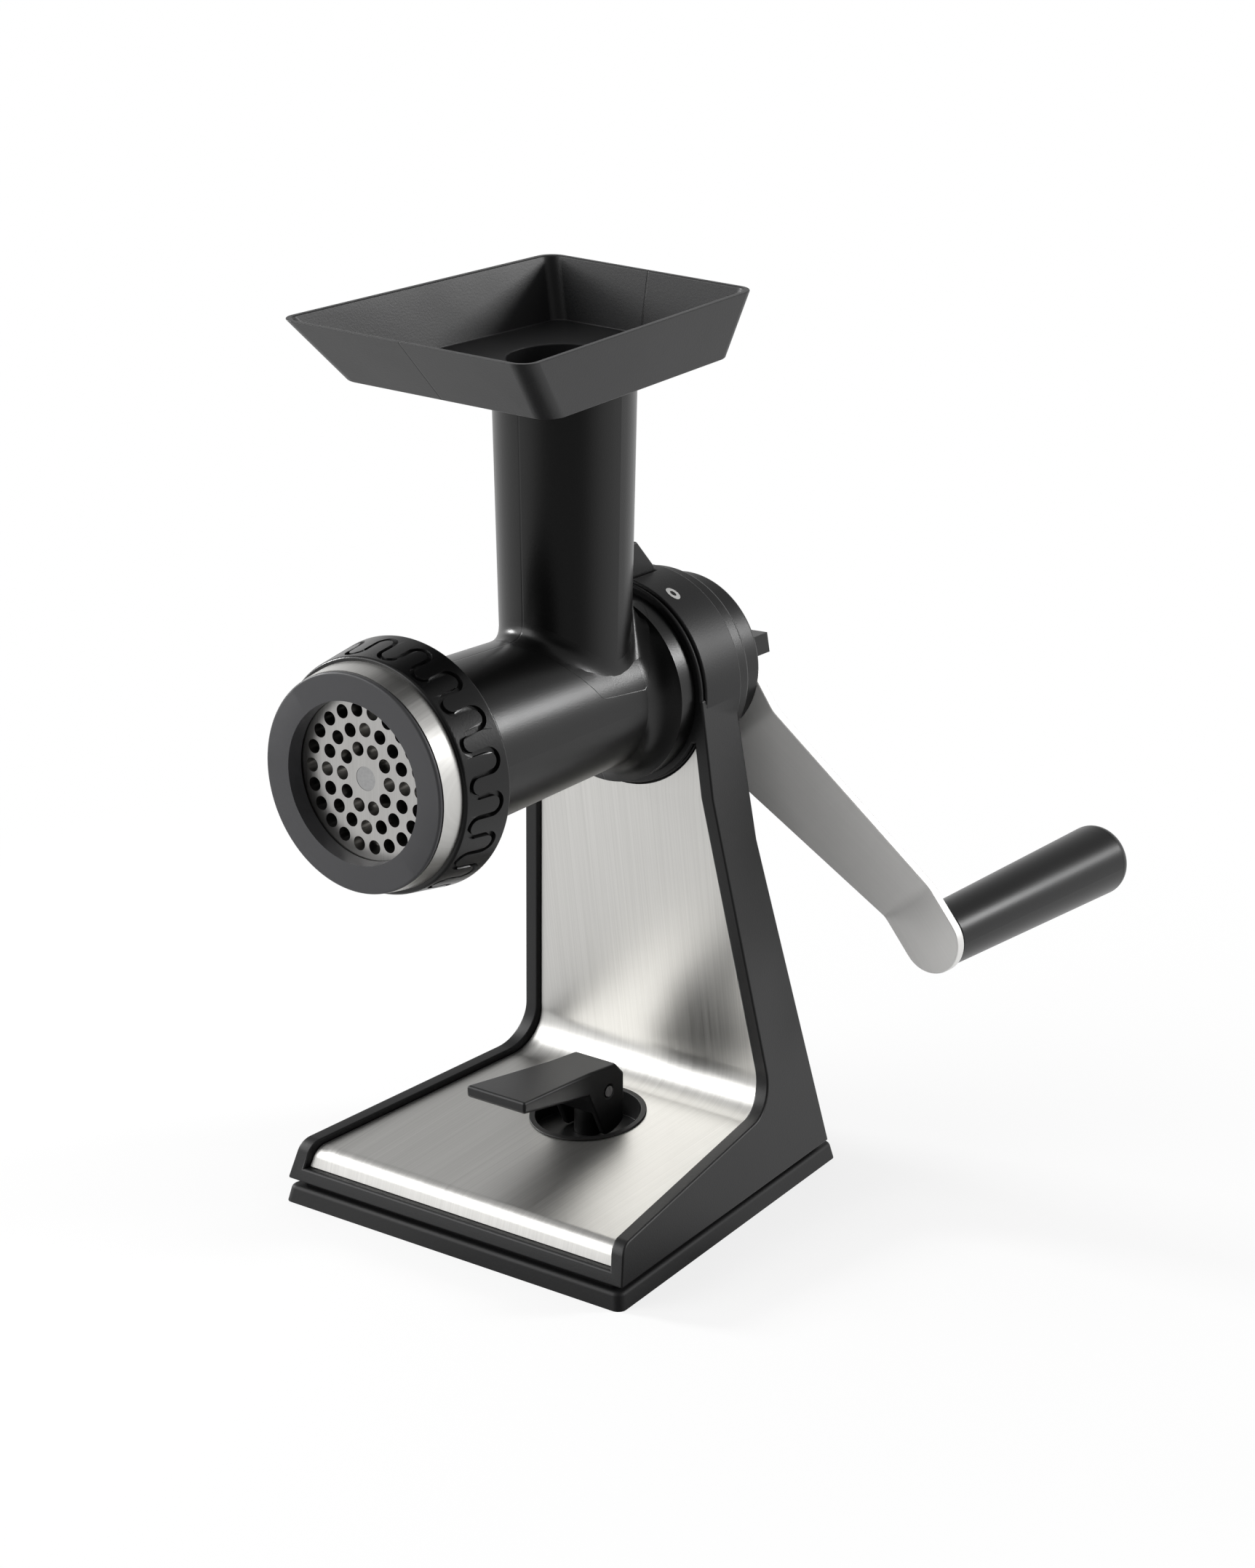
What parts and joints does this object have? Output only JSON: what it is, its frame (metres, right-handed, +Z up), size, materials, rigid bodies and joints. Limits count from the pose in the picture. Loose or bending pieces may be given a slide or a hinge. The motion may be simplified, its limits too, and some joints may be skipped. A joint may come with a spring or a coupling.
{
  "type": "hand crank meat grinder",
  "caption": "Hand crank meat grinder with feed tray, auger barrel, hole plate and screw ring, turned by a bent crank arm, on a stand that a cam lever holds to the table by suction.",
  "frame": {"origin": "middle of the foot's footprint on the table plane", "axes": "+X right as seen from the outlet, +Y to the back where the crank is, +Z up; the barrel axis runs along Y"},
  "size_m": [0.1697, 0.321, 0.3218],
  "materials": {
    "black_plastic": "black fine-grained moulding",
    "brushed_steel": "brushed stainless sheet",
    "foot_rubber": "soft black rubber",
    "grip_plastic": "satin black moulding",
    "auger_metal": "cast and tumbled",
    "tray_plastic": "matt black moulding",
    "ring_plastic": "dark grey moulding",
    "lever_plastic": "charcoal satin moulding",
    "plate_steel": "ground tool steel",
    "pin_steel": "turned steel",
    "screw_steel": "plated steel",
    "arm_steel": "satin stainless strip",
    "bush_brass": "sintered bronze bush"
  },
  "bodies": {
    "stand": {"stand_shell": "black_plastic", "steel_cover": "brushed_steel", "foot_skirt": "foot_rubber", "bottom_plate": "black_plastic", "bottom_screws": "screw_steel", "lever_recess": "lever_plastic", "suction_cup": "foot_rubber", "suction_stem": "pin_steel", "shaft_bush": "bush_brass", "rear_cover": "black_plastic", "cover_screws": "screw_steel"},
    "suction_lever": {"suction_lever": "lever_plastic", "lever_pin": "pin_steel"},
    "head": {"grinder_housing": "black_plastic", "hole_plate": "plate_steel"},
    "tray": {"feed_tray": "tray_plastic"},
    "ring": {"clamp_ring": "ring_plastic", "ring_band": "brushed_steel", "ring_face": "ring_plastic", "ring_grip": "grip_plastic"},
    "drive": {"auger": "auger_metal", "knife": "plate_steel", "thrust_washer": "pin_steel", "drive_shaft": "pin_steel", "shaft_clip": "screw_steel", "crank_hub": "black_plastic", "crank_arm": "arm_steel", "crank_knob": "grip_plastic", "handle_axle": "pin_steel"},
    "grip": {"handle_grip": "grip_plastic", "grip_cap": "grip_plastic"},
    "button": {"release_button": "black_plastic"}
  },
  "joints": [
    {"name": "lever_hinge", "type": "hinge", "parent": "stand", "child": "suction_lever", "pos_m": [0, 0.0015, 0.0376], "axis": [-1, 0, 0], "range_deg": [0, 85]},
    {"name": "head_turn", "type": "hinge", "parent": "stand", "child": "head", "pos_m": [0, 0.02, 0.1815], "axis": [0, 1, 0], "range_deg": [0, 30]},
    {"name": "tray_lift", "type": "slide", "parent": "head", "child": "tray", "axis": [0, 0, 1], "range_m": [0, 0.03]},
    {"name": "ring_turn", "type": "hinge", "parent": "head", "child": "ring", "pos_m": [0, -0.1, 0.1815], "axis": [0, -1, 0], "range_deg": [0, 120]},
    {"name": "crank_turn", "type": "hinge", "parent": "stand", "child": "drive", "pos_m": [0, 0.05, 0.1815], "axis": [0, 1, 0], "continuous": true},
    {"name": "grip_spin", "type": "hinge", "parent": "drive", "child": "grip", "pos_m": [0.08196, 0.15, 0.08383], "axis": [0, 1, 0], "continuous": true},
    {"name": "button_press", "type": "slide", "parent": "stand", "child": "button", "axis": [0, 0, -1], "range_m": [0, 0.0025], "stiffness_N_per_m": 300}
  ]
}
